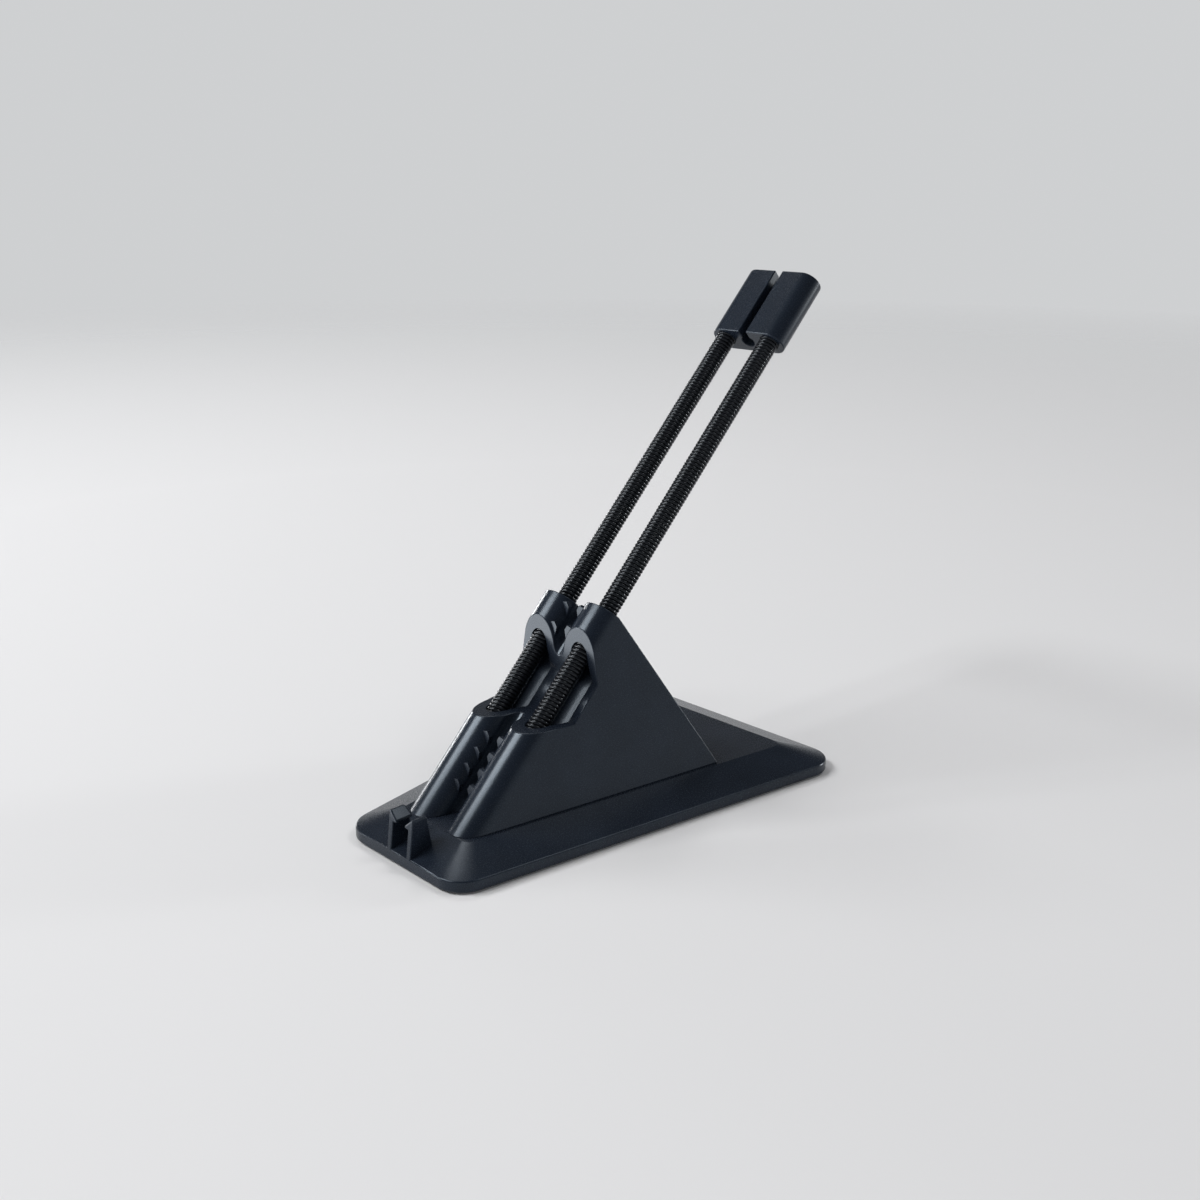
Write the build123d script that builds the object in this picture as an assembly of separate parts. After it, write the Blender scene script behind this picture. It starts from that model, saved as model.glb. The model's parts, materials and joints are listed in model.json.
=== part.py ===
from build123d import *
import os
from math import atan, cos, degrees, pi, radians, sin, sqrt, tan

os.makedirs("parts", exist_ok=True)

# Base tray, wide at the front, with a low upright rim and sloping sides
base_length = 120.0
rear_width = 43.5
front_width = 86.0
rim_height = 2.9
rim_corner = 8.0
slope_run = 10.6
plateau_height = 6.6
plateau_corner = 2.8
rim_wall = 2.0
roof = 1.6
corner_room = 2.0

# Layers under the base
pad_proud = 0.5
pad_thickness = 0.9
pad_margin = 1.0
cover_thickness = 1.2
cover_gap = 0.2
ballast_thickness = 2.2
ballast_gap = 0.2
ballast_margin = 1.4

# Rear cable clip
clip_gap = 5.9
clip_mouth = 3.2
prong_thickness = 1.6
prong_foot = 7.2
prong_top = 4.1
prong_lean = 1.4
prong_height = 12.9
barb_height = 10.0
barb_face = 0.7
barb_draft = 0.1
prong_crown = 0.4

# Close-wound springs
spring_radius = 2.75
wire = 1.0
coil_pitch = 1.014
coil_valley = 0.45
coil_sides = 5
arm_span = 89.3

# Sloping housing with its two spring barrels and the cable groove between them
arm_angle = 45.0
toe_gap = 0.04
bore_gap = 0.15
barrel_wall = 2.8
barrel_length = 61.7
groove_width = 3.6
groove_rise = 1.1
housing_length = 68.6
front_angle = 60.0
housing_wall = 2.0
rib_thickness = 1.6
rib_height = 8.5

# Window cut across the barrels, with a trough behind each spring
notch_floor = 3.8
notch_run = 34.24
sill_rise = 20.7
trough_half = 4.4
trough_shoulder = 3.4
trough_depth = 8.2
trough_start = 27.0
trough_end = 54.0

# Cable teeth on the groove's flanks
lower_tooth = 7.13
lower_pitch = 4.64
lower_count = 4
upper_tooth = 54.1
upper_pitch = 6.1
upper_count = 2
tooth_mouth = 3.0
tooth_sink = 1.16
tooth_lead = 0.85
tooth_tip = 1.3
tooth_drop = 4.2
tooth_foot = 0.4
tooth_shoulder = 0.5
tooth_lean = 3.0
tooth_depth = 1.1

# Plugs that hold the spring ends
plug_flange = 1.5
flange_gap = 0.1
pin_gap = 0.1
pin_length = 8.0
bore_base = 2.7
spring_end_gap = 0.3
upper_flange_gap = 0.05

# Head block on top of the springs
head_height = 22.0
head_rear_wall = 0.85
head_front_wall = 1.75
head_land = 0.25
head_bore_gap = 0.1
head_bore_depth = 10.0
slot_width = 2.4
channel_radius = 2.0

# Screws and the hidden holes, bosses and posts that take them
fastener_sides = 6
shank_radius = 0.95
pilot_gap = 0.05
pass_gap = 0.4
head_radius = 2.0
pan_radius = 2.2
pan_height = 1.4
boss_radius = 3.0
post_radius = 2.6
tip_gap = 0.4
clear_gap = 0.4
cover_screw_end = 18.0
cover_screw_side = 14.5
ballast_rear = 35.0
ballast_front = 70.0
housing_rear = 19.3
housing_front = 11.3
housing_side = 9.0
housing_bite = 5.0
plug_seat_gap = 0.2
plug_bite = 6.0

# Levels above the table
shell_foot = pad_proud
rim_top = shell_foot + rim_height
deck = shell_foot + plateau_height
ceiling = deck - roof
cover_foot = pad_thickness
cover_top = cover_foot + cover_thickness
ballast_foot = cover_top + ballast_gap
ballast_top = ballast_foot + ballast_thickness

# Lengths that follow from the sizes above
tail = -base_length / 2
flare = (front_width - rear_width) / 2 / base_length
flare_length = sqrt(1 + flare**2)
slope = (deck - rim_top) / slope_run
slope_angle = degrees(atan(1 / slope))
arm_sin = sin(radians(arm_angle))
arm_cos = cos(radians(arm_angle))
side_draft = flare / arm_sin
side_length = sqrt(1 + side_draft**2)
bore_radius = spring_radius + bore_gap
barrel_radius = bore_radius + barrel_wall
half_spacing = barrel_radius + groove_width / 2
groove_radius = half_spacing - sqrt(barrel_radius**2 - groove_rise**2)
arm_x = tail + slope_run + barrel_radius / arm_sin + toe_gap
front_x = arm_x + housing_length
front_reach = housing_length * arm_sin
side_reach = half_spacing + barrel_radius * side_length
front_tilt = tan(radians(front_angle))
head_bore = spring_radius + head_bore_gap
head_depth = 2 * head_bore + head_rear_wall + head_front_wall
head_offset = (head_front_wall - head_rear_wall) / 2
head_width = 2 * half_spacing + head_depth + 2 * head_land
pilot_radius = shank_radius + pilot_gap
flat_height = (head_radius - shank_radius) * cos(pi / fastener_sides)
coil_bore = spring_radius - wire
pin_radius = coil_bore - pin_gap
plug_head = pan_radius * arm_cos / arm_sin + plug_seat_gap
plug_seat = plug_head + pan_height
bore_floor = plug_seat + bore_base
spring_foot = bore_floor + plug_flange
head_foot = barrel_length + arm_span
head_bore_end = head_foot + head_bore_depth
upper_flange = head_bore_end - plug_flange
spring_end = upper_flange - spring_end_gap
arm_plane = Plane(origin=(arm_x, 0, deck), x_dir=(arm_sin, 0, -arm_cos), z_dir=(arm_cos, 0, arm_sin))


def half_width(x):
    return rear_width / 2 + flare * (x - tail)


def housing_half(x):
    return side_reach + flare * (x - arm_x)


def mirrored(points):
    return [(x, side * y) for x, y in points for side in (1, -1)]


cover_ends = (tail + cover_screw_end, -tail - cover_screw_end)
cover_points = mirrored([(x, half_width(x) - cover_screw_side) for x in cover_ends])
ballast_points = [(tail + ballast_rear + slope_run, 0), (tail + ballast_front + slope_run, 0)]
housing_ends = (arm_x + housing_rear, front_x - housing_front)
housing_points = mirrored([(x, housing_half(x) - housing_side) for x in housing_ends])


def flared(inset):
    half = base_length / 2 - inset
    rear = half_width(-half) - flare_length * inset
    front = half_width(half) - flare_length * inset
    return Polygon((-half, -rear), (half, -front), (half, front), (-half, rear), align=None)


def plan(inset, corner, height):
    return Pos(0, 0, height) * fillet(flared(inset).vertices(), corner)


def slab(inset, corner, low, high):
    return extrude(plan(inset, corner, low), high - low)


def pushed(plane, sketch, length):
    return extrude(plane * sketch, length, dir=plane.z_dir)


def side_prism(points, half):
    return extrude(Plane.XZ * Polygon(*points, align=None), half, both=True)


def stud(radius, length):
    return extrude(RegularPolygon(radius, fastener_sides), length)


def post(point, radius, low, high):
    return Pos(*point, low) * stud(radius, high - low)


def arm_stud(side, radius, low, high):
    return arm_plane * Pos(0, side * half_spacing, low) * stud(radius, high - low)


def arm_bore(side, radius, low, high):
    return pushed(arm_plane.offset(low), Pos(0, side * half_spacing) * Circle(radius), high - low)


def arm_point(across, along):
    x = arm_x + across * arm_sin + along * arm_cos
    z = deck - across * arm_cos + along * arm_sin
    return x, z


def flat_screw(length, gap=0.0):
    cone = extrude(RegularPolygon(head_radius + gap, fastener_sides), flat_height, taper=45)
    return cone + stud(shank_radius + gap, length)


def pan_screw(length):
    return stud(pan_radius, pan_height) + stud(shank_radius, length)


def rear_clip():
    inner = clip_gap / 2
    outer = inner + prong_thickness
    tip = clip_mouth / 2
    barb = shell_foot + barb_height
    top = shell_foot + prong_height
    foot = rim_top - roof
    front_view = [
        (inner, foot),
        (inner, barb),
        (tip, barb + barb_draft),
        (tip, barb + barb_face),
        (outer - prong_crown, top),
        (outer, top - prong_crown),
        (outer, foot),
    ]
    side_view = [
        (tail, foot),
        (tail, rim_top),
        (tail + prong_lean, top),
        (tail + prong_lean + prong_top, top),
        (tail + prong_foot, rim_top),
        (tail + prong_foot, foot),
    ]
    left = pushed(Plane.YZ.offset(tail), Polygon(*front_view, align=None), prong_foot)
    return side_prism(side_view, outer) & (left + mirror(left, Plane.XZ))


def base_shell():
    sides = [plan(0, rim_corner, rim_top), plan(slope_run, plateau_corner, deck)]
    shell = slab(0, rim_corner, shell_foot, rim_top) + loft(sides, ruled=True) + rear_clip()
    shoulder = rim_top - roof + slope * rim_wall
    under = Pos(0, 0, shoulder) * flared(rim_wall + corner_room)
    shell -= slab(rim_wall, rim_corner - rim_wall, shell_foot, shoulder)
    shell -= extrude(under, ceiling - shoulder, taper=slope_angle)
    for point in cover_points:
        shell += post(point, boss_radius, cover_top, ceiling)
        shell -= post(point, pilot_radius, cover_top, ceiling)
    for point in ballast_points:
        shell += post(point, post_radius, ballast_top, ceiling)
        shell -= post(point, pilot_radius, ballast_top, ceiling + roof / 2)
    for point in housing_points:
        shell -= post(point, shank_radius + pass_gap, ceiling, deck)
    return shell


def bottom_cover():
    inset = rim_wall + cover_gap
    cover = slab(inset, rim_corner - inset, cover_foot, cover_top)
    for point in cover_points:
        cover -= Pos(*point, cover_foot) * flat_screw(cover_thickness, pilot_gap)
    return cover


def non_slip_pad():
    inset = rim_wall + cover_gap + pad_margin
    return slab(inset, rim_corner - inset, 0, pad_thickness)


def ballast_plate():
    outline = Pos(0, 0, ballast_foot) * flared(slope_run + ballast_margin)
    plate = extrude(outline, ballast_thickness)
    for point in cover_points:
        plate -= post(point, boss_radius + clear_gap, ballast_foot, ballast_top)
    for point in ballast_points:
        plate -= Pos(*point, ballast_foot) * flat_screw(ballast_thickness, pilot_gap)
    for point in housing_points:
        plate -= post(point, pan_radius + clear_gap, ballast_foot, ballast_top)
    return plate


def cover_screws():
    length = ceiling - tip_gap - cover_foot
    return [Pos(*point, cover_foot) * flat_screw(length) for point in cover_points]


def ballast_screws():
    length = ceiling + roof / 2 - tip_gap - ballast_foot
    return [Pos(*point, ballast_foot) * flat_screw(length) for point in ballast_points]


def housing_screws():
    length = pan_height + roof + housing_bite
    return [Pos(*point, ceiling - pan_height) * pan_screw(length) for point in housing_points]


def barrel_section():
    tangent = (-barrel_radius * side_draft / side_length, half_spacing + barrel_radius / side_length)
    far = (front_reach, side_reach + side_draft * front_reach)
    centre = (0, half_spacing)
    crest = (-groove_rise, half_spacing)
    left = [crest, centre, tangent, far]
    section = Polygon(*left, *[(across, -y) for across, y in reversed(left)], align=None)
    for side in (1, -1):
        section += Pos(0, side * half_spacing) * Circle(barrel_radius)
    return section - Pos(-groove_rise, 0) * Circle(groove_radius)


def front_line(inset, height):
    return front_x - inset / sin(radians(front_angle)) - (height - deck) / front_tilt


def housing_profile():
    end_x, end_z = arm_point(-2 * barrel_radius, barrel_length)
    end_tilt = arm_sin / arm_cos
    apex_z = (end_x + end_z * end_tilt - front_x - deck / front_tilt) / (end_tilt - 1 / front_tilt)
    apex = (front_line(0, apex_z), apex_z)
    return [(tail, deck), (front_x, deck), apex, (end_x, end_z), (tail, end_z)]


def notch():
    sill = deck + sill_rise
    face_x = arm_x + notch_run
    floor_x, floor_z = arm_point(notch_floor, 0)
    tilt = arm_sin / arm_cos
    inner = (face_x, floor_z + (face_x - floor_x) * tilt)
    outer = (floor_x + (sill - floor_z) / tilt, sill)
    above = [(face_x, base_length), (tail, base_length), (tail, sill)]
    return side_prism([outer, inner, *above], front_width)


def trough(side):
    mid = side * half_spacing
    left = [(0, bore_radius), (trough_shoulder, trough_half), (trough_depth, trough_half)]
    walls = [(across, mid + y) for across, y in left]
    walls += [(across, mid - y) for across, y in reversed(left)]
    return pushed(arm_plane.offset(trough_start), Polygon(*walls, align=None), trough_end - trough_start)


def tooth_pair(along):
    tip_x, tip_z = arm_point(tooth_sink - barrel_radius, along)
    lean = radians(tooth_lean)
    face = Plane(origin=(tip_x, 0, tip_z), x_dir=(0, 1, 0), z_dir=(cos(lean), 0, -sin(lean)))
    tip = tooth_mouth / 2
    root = half_spacing - barrel_radius / 2
    outline = [
        (tip, -tooth_tip),
        (tip + tooth_lead, 0),
        (root, -tooth_shoulder),
        (root, -tooth_drop),
        (groove_width / 2 + tooth_foot, -tooth_drop),
    ]
    left = pushed(face, Polygon(*outline, align=None), tooth_depth)
    return left + mirror(left, Plane.XZ)


def housing_cavity():
    start = trough_depth + housing_wall
    inner_reach = side_reach - housing_wall * side_length
    left = [(across, inner_reach + side_draft * across) for across in (start, front_reach)]
    outline = left + [(across, -y) for across, y in reversed(left)]
    block = pushed(arm_plane, Polygon(*outline, align=None), barrel_length)
    high = deck + base_length
    inner_front = front_line(housing_wall, deck)
    walls = [(tail, deck), (inner_front, deck), (front_line(housing_wall, high), high), (tail, high)]
    return block & side_prism(walls, front_width)


def wedge_housing():
    below = arm_plane.offset(-2 * barrel_radius)
    housing = pushed(below, barrel_section(), barrel_length + 4 * barrel_radius)
    for i in range(lower_count):
        housing += tooth_pair(lower_tooth + i * lower_pitch)
    for i in range(upper_count):
        housing += tooth_pair(upper_tooth + i * upper_pitch)
    housing &= side_prism(housing_profile(), front_width)
    cavity = housing_cavity()
    housing -= cavity
    for x in housing_ends:
        rib = Pos(x, 0, deck + rib_height / 2) * Box(rib_thickness, front_width, rib_height)
        housing += rib & cavity
    for point in housing_points:
        housing += post(point, boss_radius, deck, deck + rib_height) & cavity
    for point in housing_points:
        housing -= post(point, pilot_radius, deck, deck + housing_bite + tip_gap)
    housing -= notch()
    for side in (1, -1):
        housing -= trough(side)
        housing -= arm_bore(side, bore_radius, bore_floor, barrel_length + barrel_radius)
        housing -= arm_stud(side, shank_radius + pass_gap, plug_seat, bore_floor)
        housing -= arm_stud(side, pan_radius + clear_gap, -barrel_radius, plug_seat)
    return housing


def lower_plug(side):
    plug = arm_stud(side, bore_radius - flange_gap, bore_floor, spring_foot)
    plug += arm_stud(side, pin_radius, spring_foot, spring_foot + pin_length)
    return plug - arm_stud(side, pilot_radius, bore_floor, bore_floor + plug_bite + tip_gap)


def plug_screws():
    length = pan_height + bore_base + plug_bite
    return [arm_plane * Pos(0, side * half_spacing, plug_head) * pan_screw(length) for side in (1, -1)]


def upper_plug(side):
    plug = arm_stud(side, head_bore - upper_flange_gap, upper_flange, head_bore_end)
    return plug + arm_stud(side, pin_radius, upper_flange - pin_length, upper_flange)


def coil_ridges(low, high):
    turns = round((high - low) / coil_pitch)
    step = (high - low) / turns / 2
    return [(low + step * i, spring_radius - coil_valley * (i % 2)) for i in range(2 * turns + 1)]


def coil_ring(side, along, radius):
    angles = [2 * pi * i / coil_sides for i in range(coil_sides)]
    middle = side * half_spacing
    return [arm_plane.from_local_coords((radius * cos(a), middle + radius * sin(a), along)) for a in angles]


def spring(side):
    stations = [(spring_foot, spring_radius)]
    stations += coil_ridges(trough_start, trough_end - 3 * wire)
    stations += coil_ridges(barrel_length - wire, head_foot)
    stations += [(spring_end, spring_radius)]
    rings = [coil_ring(side, along, radius) for along, radius in stations]
    faces = [Face(Wire.make_polygon(rings[0])), Face(Wire.make_polygon(rings[-1]))]
    for lower, upper in zip(rings, rings[1:]):
        for i in range(coil_sides):
            corners = [lower[i - 1], lower[i], upper[i], upper[i - 1]]
            faces.append(Face(Wire.make_polygon(corners)))
    coil = Solid(Shell(faces))
    return coil - arm_stud(side, coil_bore, spring_foot, spring_end)


def head_block():
    outline = Pos(head_offset, 0) * Rot(0, 0, 90) * SlotOverall(head_width, head_depth)
    block = pushed(arm_plane.offset(head_foot), outline, head_height)
    slit = Pos(head_offset - head_depth / 2, 0) * Rectangle(head_depth, slot_width)
    slit += Pos(head_offset, 0) * Circle(channel_radius)
    block -= pushed(arm_plane.offset(head_foot), slit, head_height)
    for side in (1, -1):
        block -= arm_bore(side, head_bore, head_foot, head_bore_end)
    return block


def save(name, shape):
    items = shape if isinstance(shape, list) else [shape]
    solids = [solid for item in items for solid in item.solids()]
    part = solids[0] if len(solids) == 1 else Compound(children=solids)
    export_step(part, f"parts/{name}.step")


save("base_shell", base_shell())
save("bottom_cover", bottom_cover())
save("non_slip_pad", non_slip_pad())
save("ballast_plate", ballast_plate())
save("cover_screws", cover_screws())
save("ballast_screws", ballast_screws())
save("housing_screws", housing_screws())
save("wedge_housing", wedge_housing())
save("plug_screws", plug_screws())
save("head_block", head_block())
for side, hand in ((1, "left"), (-1, "right")):
    save(f"lower_plug_{hand}", lower_plug(side))
    save(f"spring_{hand}", spring(side))
    save(f"upper_plug_{hand}", upper_plug(side))
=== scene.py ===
import json
import math

import bmesh
import bpy
from mathutils import Matrix, Vector
from mathutils.kdtree import KDTree


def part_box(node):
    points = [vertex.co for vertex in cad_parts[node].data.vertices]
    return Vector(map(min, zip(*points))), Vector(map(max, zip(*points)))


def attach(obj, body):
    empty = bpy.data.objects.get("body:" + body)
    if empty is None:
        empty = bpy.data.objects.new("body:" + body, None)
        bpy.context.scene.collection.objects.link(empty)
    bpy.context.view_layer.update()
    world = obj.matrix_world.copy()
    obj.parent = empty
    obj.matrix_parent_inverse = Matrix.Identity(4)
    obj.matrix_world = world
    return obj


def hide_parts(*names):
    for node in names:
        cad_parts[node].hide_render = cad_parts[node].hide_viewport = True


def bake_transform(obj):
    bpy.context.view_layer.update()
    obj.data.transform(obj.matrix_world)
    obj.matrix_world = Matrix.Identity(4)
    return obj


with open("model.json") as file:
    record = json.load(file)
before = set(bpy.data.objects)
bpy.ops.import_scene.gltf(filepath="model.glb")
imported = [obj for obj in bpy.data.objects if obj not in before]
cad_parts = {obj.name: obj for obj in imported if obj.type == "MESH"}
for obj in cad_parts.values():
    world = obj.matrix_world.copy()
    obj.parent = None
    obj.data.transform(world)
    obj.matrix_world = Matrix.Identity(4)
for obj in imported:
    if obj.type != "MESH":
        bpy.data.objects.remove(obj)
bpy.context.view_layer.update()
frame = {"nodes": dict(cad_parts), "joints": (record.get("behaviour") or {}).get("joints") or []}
scene = bpy.context.scene
mm = 0.001
print("frame loaded:", len(frame["nodes"]), "nodes")

# the arm leans forward at this angle, and both springs lie along it
armAngle = math.radians(45)
armAxis = Vector((math.cos(armAngle), 0, math.sin(armAngle)))
pivot = Vector(frame["joints"][0]["pos_m"])  # lies on the arm, midway between the springs

noiseSpan = (0.3, 0.7)  # most of a noise texture's values lie in here


def newMaterial(name):
    mat = bpy.data.materials.new(name)
    mat.use_nodes = True
    mat.node_tree.nodes.clear()
    out = mat.node_tree.nodes.new("ShaderNodeOutputMaterial")
    shader = mat.node_tree.nodes.new("ShaderNodeBsdfPrincipled")
    mat.node_tree.links.new(shader.outputs[0], out.inputs[0])
    return mat, mat.node_tree.nodes, mat.node_tree.links, shader


def objectNoise(nodes, links, size, detail, stretch=(1, 1, 1)):
    # size is the width of a speck in metres
    coord = nodes.new("ShaderNodeTexCoord")
    mapping = nodes.new("ShaderNodeMapping")
    mapping.inputs["Scale"].default_value = stretch
    noise = nodes.new("ShaderNodeTexNoise")
    noise.inputs["Scale"].default_value = 1 / size
    noise.inputs["Detail"].default_value = detail
    links.new(coord.outputs["Object"], mapping.inputs["Vector"])
    links.new(mapping.outputs[0], noise.inputs["Vector"])
    return noise.outputs[0]


def remap(nodes, links, source, low, high, span=noiseSpan):
    rng = nodes.new("ShaderNodeMapRange")
    rng.inputs["From Min"].default_value = span[0]
    rng.inputs["From Max"].default_value = span[1]
    rng.inputs["To Min"].default_value = low
    rng.inputs["To Max"].default_value = high
    links.new(source, rng.inputs["Value"])
    return rng.outputs["Result"]


def tint(nodes, links, source, darker, lighter):
    ramp = nodes.new("ShaderNodeValToRGB")
    for stop, place, colour in zip(ramp.color_ramp.elements, noiseSpan, (darker, lighter)):
        stop.position = place
        stop.color = (*colour, 1)
    links.new(source, ramp.inputs["Fac"])
    return ramp.outputs["Color"]


def surface(nodes, links, shader, patches, specks, cfg):
    # patches vary the colour and specks the roughness
    colour = tint(nodes, links, patches, cfg["darker"], cfg["lighter"])
    roughness = remap(nodes, links, specks, *cfg["roughness"])
    links.new(colour, shader.inputs["Base Color"])
    links.new(roughness, shader.inputs["Roughness"])


def tintedGloss(shader, cfg):
    shader.inputs["Specular IOR Level"].default_value = cfg["gloss"]
    shader.inputs["Specular Tint"].default_value = (*cfg["glossTint"], 1)


def grain(nodes, links, shader, specks, cfg):
    bump = nodes.new("ShaderNodeBump")
    bump.inputs["Strength"].default_value = cfg["grainStrength"]
    bump.inputs["Distance"].default_value = cfg["grainDepth"]
    links.new(specks, bump.inputs["Height"])
    links.new(bump.outputs["Normal"], shader.inputs["Normal"])


plasticSet = {
    "darker": (0.0085, 0.0120, 0.0190),
    "lighter": (0.0110, 0.0155, 0.0245),
    "cloud": 9 * mm,
    "cloudDetail": 2.0,
    "speck": 0.22 * mm,
    "speckDetail": 1.0,
    "roughness": (0.23, 0.29),
    "gloss": 0.34,
    "glossTint": (0.76, 0.88, 1.0),
    "grainStrength": 0.03,
    "grainDepth": 0.010 * mm,
}


def satinPlastic(name, cfg):
    mat, nodes, links, shader = newMaterial(name)
    cloud = objectNoise(nodes, links, cfg["cloud"], cfg["cloudDetail"])
    speck = objectNoise(nodes, links, cfg["speck"], cfg["speckDetail"])
    surface(nodes, links, shader, cloud, speck, cfg)
    tintedGloss(shader, cfg)
    grain(nodes, links, shader, speck, cfg)
    return mat


coatSet = {
    "darker": (0.006, 0.007, 0.009),
    "lighter": (0.009, 0.010, 0.012),
    "speck": 0.3 * mm,
    "speckDetail": 2.0,
    "roughness": (0.13, 0.19),
    "gloss": 0.26,
    "glossTint": (0.84, 0.92, 1.0),
}


def springCoat(name, cfg):
    mat, nodes, links, shader = newMaterial(name)
    speck = objectNoise(nodes, links, cfg["speck"], cfg["speckDetail"])
    surface(nodes, links, shader, speck, speck, cfg)
    tintedGloss(shader, cfg)
    return mat


rubberSet = {
    "darker": (0.010, 0.010, 0.010),
    "lighter": (0.018, 0.018, 0.018),
    "speck": 0.5 * mm,
    "speckDetail": 4.0,
    "roughness": (0.75, 0.9),
    "grainStrength": 0.5,
    "grainDepth": 0.05 * mm,
}


def padRubber(name, cfg):
    mat, nodes, links, shader = newMaterial(name)
    speck = objectNoise(nodes, links, cfg["speck"], cfg["speckDetail"])
    surface(nodes, links, shader, speck, speck, cfg)
    grain(nodes, links, shader, speck, cfg)
    return mat


steelSet = {
    "darker": (0.42, 0.42, 0.43),
    "lighter": (0.55, 0.55, 0.56),
    "speck": 0.4 * mm,
    "speckDetail": 2.0,
    "brushing": (1, 18, 18),
    "roughness": (0.28, 0.42),
}


def platedSteel(name, cfg):
    mat, nodes, links, shader = newMaterial(name)
    brushed = objectNoise(nodes, links, cfg["speck"], cfg["speckDetail"], cfg["brushing"])
    surface(nodes, links, shader, brushed, brushed, cfg)
    shader.inputs["Metallic"].default_value = 1.0
    return mat


bodyPlastic = satinPlastic("satin_plastic", plasticSet)
blackSpring = springCoat("spring_black", coatSet)
rubber = padRubber("pad_rubber", rubberSet)
steel = platedSteel("plated_steel", steelSet)
print("materials made")


def finishNode(name, mat):
    node = frame["nodes"][name]
    node.data.materials.clear()
    node.data.materials.append(mat)


for name in ("ballast_plate", "ballast_screws", "cover_screws", "housing_screws", "plug_screws"):
    finishNode(name, steel)
for name in ("bottom_cover", "lower_plug_left", "lower_plug_right", "upper_plug_left", "upper_plug_right"):
    finishNode(name, bodyPlastic)
finishNode("non_slip_pad", rubber)


def addPiece(name, bm, mat):
    mesh = bpy.data.meshes.new(name)
    bm.to_mesh(mesh)
    bm.free()
    mesh.materials.append(mat)
    piece = bpy.data.objects.new(name, mesh)
    scene.collection.objects.link(piece)
    return piece


def springMiddle(name):
    low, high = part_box(name)
    return (low[1] + high[1]) / 2


springMiddles = {side: springMiddle("spring_" + side) for side in ("left", "right")}

# moulded pieces keep the CAD form, with their outer edges rounded as a mould leaves them (mm, degrees)
mouldings = {
    "base_shell": {"body": "base", "round": 0.35, "segments": 3},
    "wedge_housing": {"body": "base", "round": 0.25, "segments": 3, "toothLean": 3},
    "head_block": {"body": "head", "round": 0.3, "segments": 4, "boreReach": 3.1},
}
edgeSet = {
    "weld": 0.002,  # joins the loose triangles
    "flat": 0.5,  # faces that turn less than this become one
    "corner": 32,  # edges that turn more than this are rounded
    "sharp": 35,  # edges that turn more than this stay sharp in the shading
    "samePlace": 0.003,  # points this close are the same point
    "toothMatch": 0.9995,  # how well a tooth's edge or face lines up with the teeth's lean
}


def isToothEdge(edge, lean):
    facing = Vector((math.cos(math.radians(lean)), 0, -math.sin(math.radians(lean))))
    along = (edge.verts[1].co - edge.verts[0].co).normalized()
    directions = (along, *[face.normal for face in edge.link_faces])
    return max(abs(facing.dot(direction)) for direction in directions) > edgeSet["toothMatch"]


def isBoreEdge(edge, reach):
    middle = (edge.verts[0].co + edge.verts[1].co) / 2
    for y in springMiddles.values():
        out = middle - Vector((pivot.x, y, pivot.z)) / mm
        if (out - armAxis * armAxis.dot(out)).length < reach:
            return True
    return False


def roundedCopy(name, cfg):
    bm = bmesh.new()
    bm.from_mesh(frame["nodes"][name].data)
    bmesh.ops.scale(bm, vec=(1 / mm,) * 3, verts=bm.verts)  # worked on in millimetres
    bmesh.ops.remove_doubles(bm, verts=bm.verts, dist=edgeSet["weld"])
    bm.normal_update()
    crisp = set()  # points on the teeth, whose edges stay as the CAD has them
    if "toothLean" in cfg:
        crisp = {v for e in bm.edges if isToothEdge(e, cfg["toothLean"]) for v in e.verts}
    bmesh.ops.dissolve_limit(bm, angle_limit=math.radians(edgeSet["flat"]),
                             verts=[v for v in bm.verts if v not in crisp],
                             edges=[e for e in bm.edges if crisp.isdisjoint(e.verts)])
    bm.normal_update()
    corners = [e for e in bm.edges if len(e.link_faces) == 2 and e.is_convex and crisp.isdisjoint(e.verts)]
    corners = [e for e in corners if e.calc_face_angle() > math.radians(edgeSet["corner"])]
    if "boreReach" in cfg:
        corners = [e for e in corners if not isBoreEdge(e, cfg["boreReach"])]
    bmesh.ops.bevel(bm, geom=corners, offset=cfg["round"], offset_type="OFFSET", affect="EDGES",
                    segments=cfg["segments"], profile=0.5, material=-1, clamp_overlap=False, loop_slide=True)
    bmesh.ops.scale(bm, vec=(mm,) * 3, verts=bm.verts)
    for face in bm.faces:
        face.smooth = True
    return bm


def evenShading(piece):
    piece.data.set_sharp_from_angle(angle=math.radians(edgeSet["sharp"]))
    even = piece.modifiers.new("even", "WEIGHTED_NORMAL")
    even.keep_sharp = True
    shaded = bpy.data.meshes.new_from_object(piece.evaluated_get(bpy.context.evaluated_depsgraph_get()))
    piece.modifiers.clear()
    piece.data = shaded


def trueShading(piece, cad):
    # where a point is the CAD's own, so is its shading; rounded edges keep theirs
    facing = {i: face.normal for face in cad.polygons for i in face.loop_indices}
    spots = KDTree(len(cad.loops))
    for i, corner in enumerate(cad.loops):
        spots.insert(cad.vertices[corner.vertex_index].co, i)
    spots.balance()
    mesh = piece.data
    normals = [corner.vector.copy() for corner in mesh.corner_normals]
    for face in mesh.polygons:
        for i in face.loop_indices:
            point = mesh.vertices[mesh.loops[i].vertex_index].co
            same = spots.find_range(point, edgeSet["samePlace"] * mm)
            if same:
                best = max(same, key=lambda spot: face.normal.dot(facing[spot[1]]))
                normals[i] = cad.corner_normals[best[1]].vector.copy()
    mesh.normals_split_custom_set(normals)


for name, cfg in mouldings.items():
    piece = addPiece(name + "_moulded", roundedCopy(name, cfg), bodyPlastic)
    evenShading(piece)
    trueShading(piece, frame["nodes"][name].data)
    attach(piece, cfg["body"])
    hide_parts(name)
    print(name, "rounded:", len(piece.data.polygons), "faces")


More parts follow.
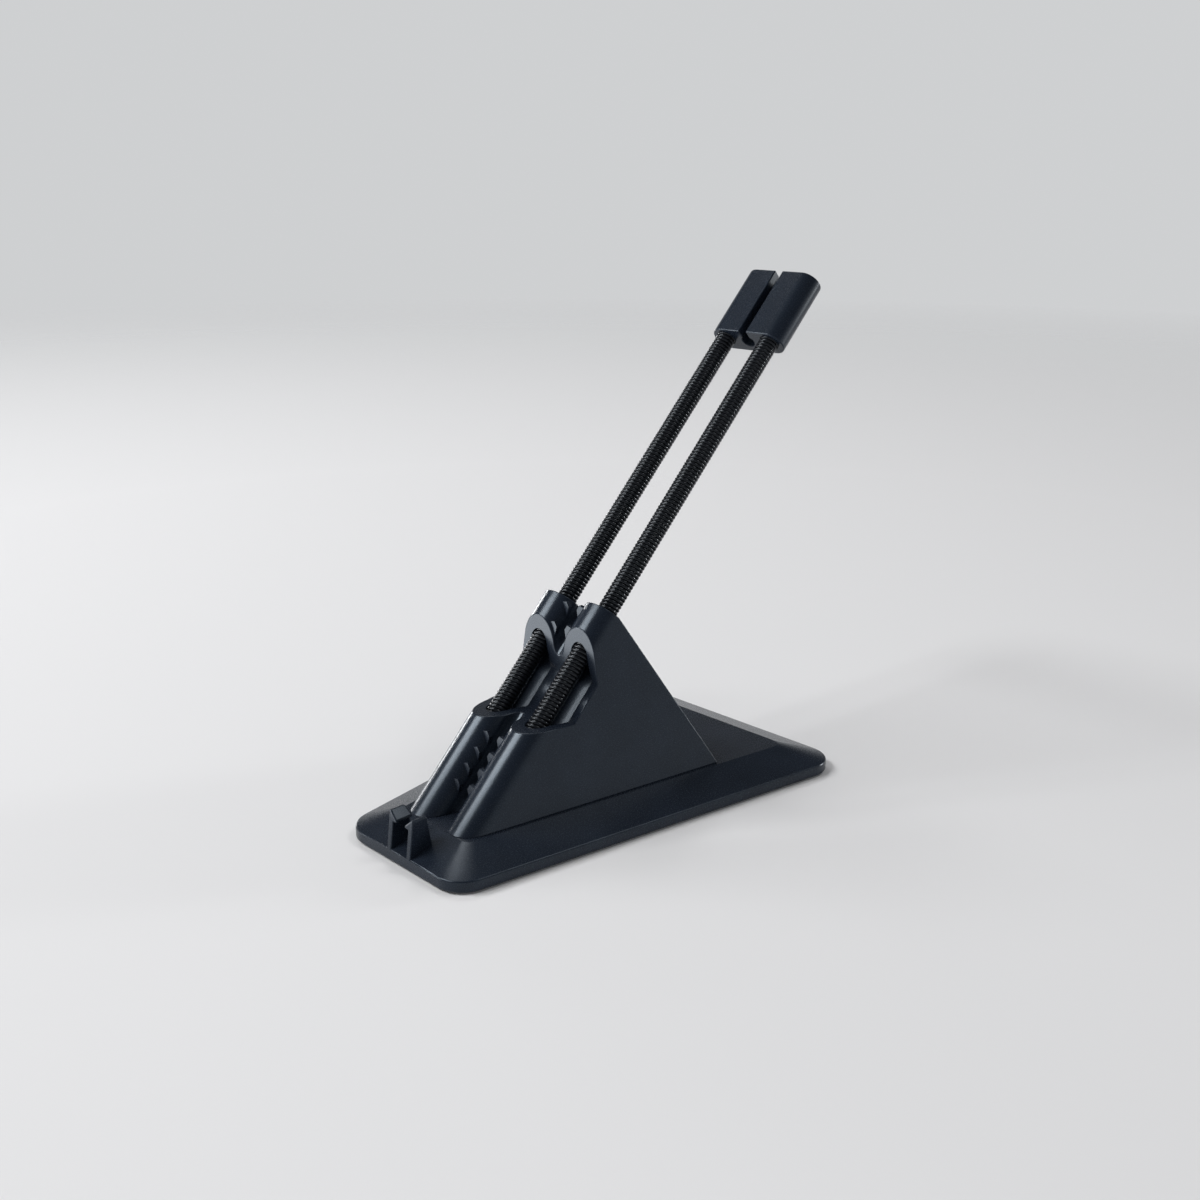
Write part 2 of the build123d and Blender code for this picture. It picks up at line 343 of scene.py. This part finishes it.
coilSet = {
    "outer": 5.5 * mm,
    "wire": 1.0 * mm,
    "pitch": 1.014 * mm,
    "sides": 8,
    "steps": 24,
    "weld": 0.01 * mm,
    "bendReach": 13 * mm,  # down to the barrels' mouths, and as far above the pivot
}


def coilTurn(cfg):
    bm = bmesh.new()
    bmesh.ops.create_circle(bm, segments=cfg["sides"], radius=cfg["wire"] / 2)
    bmesh.ops.rotate(bm, verts=bm.verts, cent=(0, 0, 0), matrix=Matrix.Rotation(math.radians(90), 3, "X"))
    bmesh.ops.translate(bm, verts=bm.verts, vec=((cfg["outer"] - cfg["wire"]) / 2, 0, 0))
    bmesh.ops.spin(bm, geom=bm.verts[:] + bm.edges[:], cent=(0, 0, 0), axis=(0, 0, 1),
                   dvec=(0, 0, cfg["pitch"] / cfg["steps"]), angle=math.tau, steps=cfg["steps"],
                   use_duplicate=False, use_merge=False)
    turn = bpy.data.meshes.new("coil_turn")
    bm.to_mesh(turn)
    bm.free()
    return turn


def coiledSpring(side, turn, cfg):
    ends = [armAxis.dot(v.co - pivot) for v in frame["nodes"]["spring_" + side].data.vertices]
    middle = pivot + armAxis * (min(ends) + max(ends)) / 2
    middle.y = springMiddles[side]
    turns = int((max(ends) - min(ends) - cfg["wire"]) / cfg["pitch"])
    bm = bmesh.new()
    for i in range(turns):
        bm.from_mesh(turn)
        bmesh.ops.translate(bm, verts=bm.verts, vec=(0, 0, -cfg["pitch"]))  # the wound part moves down a turn
    bmesh.ops.remove_doubles(bm, verts=bm.verts, dist=cfg["weld"])
    bmesh.ops.holes_fill(bm, edges=[e for e in bm.edges if e.is_boundary], sides=0)
    bmesh.ops.recalc_face_normals(bm, faces=bm.faces)
    bmesh.ops.translate(bm, verts=bm.verts, vec=(0, 0, turns * cfg["pitch"] / 2))
    lean = Vector((0, 0, 1)).rotation_difference(armAxis).to_matrix().to_4x4()
    bm.transform(Matrix.Translation(middle) @ lean)
    for face in bm.faces:
        face.smooth = True
    return bm


oneTurn = coilTurn(coilSet)
for side in springMiddles:
    spring = addPiece("coil_" + side, coiledSpring(side, oneTurn, coilSet), blackSpring)
    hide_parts("spring_" + side)
    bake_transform(spring)
    print("spring", side, len(spring.data.polygons), "faces")


# pale matt floor that fades into the backdrop, so that no horizon shows
stageSet = {
    "floor": 2.0,
    "sides": 64,
    "colour": (0.75, 0.75, 0.76),
    "roughness": 0.9,
    "gloss": 0.0,
    "fade": (0.42, 1.45),
}


def paleFloor(cfg):
    bm = bmesh.new()
    bmesh.ops.create_circle(bm, cap_ends=True, segments=cfg["sides"], radius=cfg["floor"])
    mat, nodes, links, shader = newMaterial("pale_floor")
    shader.inputs["Base Color"].default_value = (*cfg["colour"], 1)
    shader.inputs["Roughness"].default_value = cfg["roughness"]
    shader.inputs["Specular IOR Level"].default_value = cfg["gloss"]
    coord = nodes.new("ShaderNodeTexCoord")
    distance = nodes.new("ShaderNodeVectorMath")
    distance.operation = "LENGTH"
    clear = nodes.new("ShaderNodeBsdfTransparent")
    mix = nodes.new("ShaderNodeMixShader")
    links.new(coord.outputs["Object"], distance.inputs[0])
    links.new(remap(nodes, links, distance.outputs["Value"], 0, 1, cfg["fade"]), mix.inputs["Fac"])
    links.new(shader.outputs[0], mix.inputs[1])
    links.new(clear.outputs[0], mix.inputs[2])
    links.new(mix.outputs[0], nodes["Material Output"].inputs["Surface"])
    return addPiece("floor", bm, mat)


paleFloor(stageSet)


# soft studio lights around the object, in metres and degrees from the front
lamps = {
    "key": {"turn": 143, "rise": 48, "roll": 31, "away": 1.8, "size": (1.05, 0.42), "watts": 25},
    "overhead": {"turn": 62, "rise": 52, "roll": 0, "away": 1.8, "size": (0.55, 0.45), "watts": 5},
    "left": {"turn": 80, "rise": 3, "roll": 0, "away": 3.0, "size": (0.85, 0.40), "watts": 18},
    "rear": {"turn": 137, "rise": 4, "roll": 0, "away": 3.0, "size": (1.33, 0.36), "watts": 34},
    "front": {"turn": -30, "rise": 6, "roll": 0, "away": 3.0, "size": (0.45, 0.62), "watts": 34},
}
# lies on the floor at the rear left and shines up
card = {"at": (-0.125, 0.118, 0.003), "turn": 135, "size": (0.18, 0.14), "watts": 0.42}
skylight = {"turn": -40, "rise": 58, "roll": 0, "away": 1.8, "strength": 0.5, "spread": 20}
aim = Vector((0.0, 0.0, 0.05))


def areaLamp(name, cfg):
    lamp = bpy.data.lights.new(name, "AREA")
    lamp.shape = "RECTANGLE"
    lamp.size, lamp.size_y = cfg["size"]
    lamp.energy = cfg["watts"]
    return lamp


def putLamp(lamp, place, turned):
    obj = bpy.data.objects.new(lamp.name, lamp)
    obj.location = place
    obj.rotation_euler = turned
    obj.visible_camera = False
    scene.collection.objects.link(obj)


def aimLamp(lamp, cfg):
    turn, rise, roll = [math.radians(cfg[key]) for key in ("turn", "rise", "roll")]
    toLamp = Vector((math.cos(turn) * math.cos(rise), math.sin(turn) * math.cos(rise), math.sin(rise)))
    turned = toLamp.to_track_quat("Z", "Y").to_matrix() @ Matrix.Rotation(roll, 3, "Z")
    putLamp(lamp, aim + toLamp * cfg["away"], turned.to_euler())


for name, cfg in lamps.items():
    aimLamp(areaLamp(name, cfg), cfg)
putLamp(areaLamp("card", card), card["at"], (math.pi, 0, math.radians(card["turn"])))
sky = bpy.data.lights.new("skylight", "SUN")
sky.energy = skylight["strength"]
sky.angle = math.radians(skylight["spread"])
aimLamp(sky, skylight)

# pale at the horizon and dimmer overhead, as a studio wall is
worldSet = {"colour": (0.97, 0.985, 1.0), "horizon": 0.64, "overhead": 0.08, "rise": (0.14, 0.40)}
world = bpy.data.worlds.new("studio")
world.use_nodes = True
wall, wires = world.node_tree.nodes, world.node_tree.links
direction = wall.new("ShaderNodeTexCoord")
axes = wall.new("ShaderNodeSeparateXYZ")
wires.new(direction.outputs["Generated"], axes.inputs[0])
level = remap(wall, wires, axes.outputs["Z"], worldSet["horizon"], worldSet["overhead"], worldSet["rise"])
wires.new(level, wall["Background"].inputs["Strength"])
wall["Background"].inputs["Color"].default_value = (*worldSet["colour"], 1)
scene.world = world
scene.view_settings.view_transform = "Standard"


cameraSet = {
    "at": (-0.2227, -0.2317, 0.1582),
    "back": (-0.6707, -0.6738, 0.3100),  # from what it looks at, towards the camera
    "lens": 39.4,
    "sensor": 36,
}
lensData = bpy.data.cameras.new("camera")
lensData.lens = cameraSet["lens"]
lensData.sensor_width = cameraSet["sensor"]
camera = bpy.data.objects.new("camera", lensData)
camera.location = cameraSet["at"]
camera.rotation_euler = (-Vector(cameraSet["back"])).to_track_quat("-Z", "Y").to_euler()
scene.collection.objects.link(camera)
scene.camera = camera
print("stage, lights and camera set")
